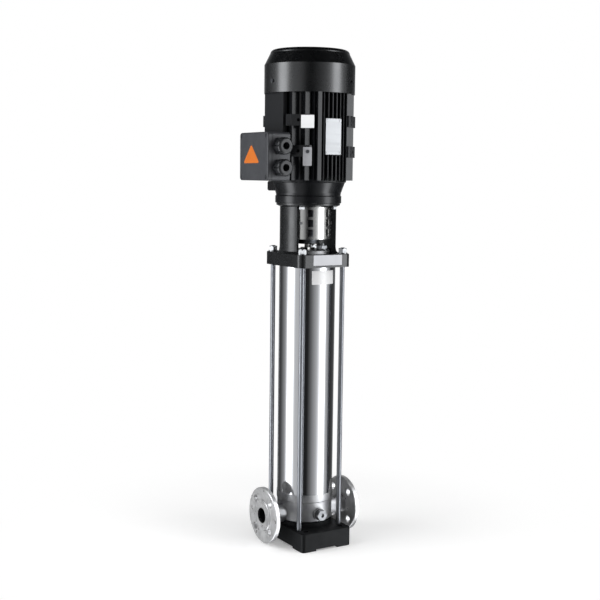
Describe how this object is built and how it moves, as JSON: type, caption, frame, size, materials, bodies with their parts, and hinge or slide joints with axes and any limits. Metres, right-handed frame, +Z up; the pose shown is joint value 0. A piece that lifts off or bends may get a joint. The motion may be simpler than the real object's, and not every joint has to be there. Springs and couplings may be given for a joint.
{
  "type": "vertical multistage pump",
  "caption": "Vertical in-line multistage pump: flanged stainless chamber and sleeve on a cast base, tie rods, guarded coupling and finned electric motor on top.",
  "frame": {"origin": "middle of the foundation bolt pattern, on the underside of the base feet", "axes": "+Z up along the pump and motor shaft; +X along the port axis towards the outlet flange; -Y towards the drain plug, the priming plug and the rating plate"},
  "size_m": [0.281, 0.223, 1.226],
  "materials": {
    "black_screw": "blackened steel",
    "block_plastic": "moulded thermoset",
    "box_grey": "matt moulded dark grey plastic",
    "bright_fastener": "bright machined steel",
    "bush_bronze": "turned bronze",
    "cast_coupling": "sintered steel",
    "cast_iron_black": "semi-gloss black paint over cast iron",
    "cast_stainless": "satin cast stainless steel",
    "copper": "varnished copper wire",
    "drawn_stainless": "drawn bright bar",
    "fan_cover_black": "gloss black paint on pressed steel",
    "fan_plastic": "matt moulded plastic",
    "fibre_seal": "grey fibre",
    "gland_black": "matt black moulded plastic",
    "lamination_steel": "stacked laminations",
    "motor_black": "gloss black paint on cast aluminium",
    "plate_aluminium": "satin aluminium plate",
    "polished_stainless": "mirror polished stainless steel",
    "pressed_stainless": "pressed stainless sheet",
    "rubber": "matt black rubber",
    "sheet_stainless": "bright stainless sheet",
    "turned_stainless": "turned stainless steel",
    "turned_steel": "ground steel"
  },
  "bodies": {
    "root": {"base_frame": "cast_iron_black", "motor_stool": "cast_iron_black", "pump_chamber": "cast_stainless", "head_cover": "cast_stainless", "inlet_collar": "turned_stainless", "outlet_collar": "turned_stainless", "outer_sleeve": "polished_stainless", "coupling_guard_front": "sheet_stainless", "coupling_guard_rear": "sheet_stainless", "tie_rods": "drawn_stainless", "tie_rod_nuts": "bright_fastener", "tie_rod_washers": "bright_fastener", "stool_bolts": "bright_fastener", "guard_screws": "bright_fastener", "drain_plug": "bright_fastener", "priming_plug": "bright_fastener", "drain_washer": "fibre_seal", "priming_washer": "fibre_seal", "sleeve_o_rings": "rubber", "shaft_seal_ring": "rubber", "terminal_box_gasket": "rubber", "gland_seals": "rubber", "seal_carrier": "turned_stainless", "suction_piece": "pressed_stainless", "stage_bowls": "pressed_stainless", "return_vanes": "pressed_stainless", "top_piece": "pressed_stainless", "shaft_bushes": "bush_bronze", "end_shield_drive": "motor_black", "motor_frame": "motor_black", "end_shield_fan": "motor_black", "rating_plate": "plate_aluminium", "stator_core": "lamination_steel", "stator_windings": "copper", "bearing_outer_rings": "turned_steel", "fan_cover": "fan_cover_black", "fan_cover_screws": "black_screw", "terminal_box": "box_grey", "terminal_box_lid": "box_grey", "lid_screws": "black_screw", "terminal_block": "block_plastic", "gland_bodies": "gland_black", "gland_nuts": "gland_black"},
    "rotor": {"pump_shaft": "turned_stainless", "impellers": "pressed_stainless", "shaft_nut": "turned_stainless", "seal_rotating_part": "turned_stainless", "coupling_half_front": "cast_coupling", "coupling_half_rear": "cast_coupling", "coupling_screws": "bright_fastener", "coupling_pin": "bright_fastener", "motor_shaft": "turned_steel", "shaft_key": "turned_steel", "rotor_core": "lamination_steel", "bearing_inner_rings": "turned_steel", "bearing_balls": "turned_steel", "cooling_fan": "fan_plastic"},
    "inlet_flange": {"inlet_flange": "turned_stainless"},
    "outlet_flange": {"outlet_flange": "turned_stainless"},
    "vent_screw": {"vent_screw": "bright_fastener"}
  },
  "joints": [
    {"name": "rotor_spin", "type": "hinge", "parent": "root", "child": "rotor", "pos_m": [0, 0, 0.8], "axis": [0, 0, 1], "continuous": true},
    {"name": "inlet_flange_turn", "type": "hinge", "parent": "root", "child": "inlet_flange", "pos_m": [-0.1165, 0, 0.075], "axis": [-1, 0, 0], "continuous": true},
    {"name": "outlet_flange_turn", "type": "hinge", "parent": "root", "child": "outlet_flange", "pos_m": [0.1165, 0, 0.075], "axis": [1, 0, 0], "continuous": true},
    {"name": "vent_screw_turn", "type": "hinge", "parent": "root", "child": "vent_screw", "pos_m": [0.02, -0.03464, 0.7505], "axis": [0, 0, 1], "range_deg": [0, 720]}
  ]
}
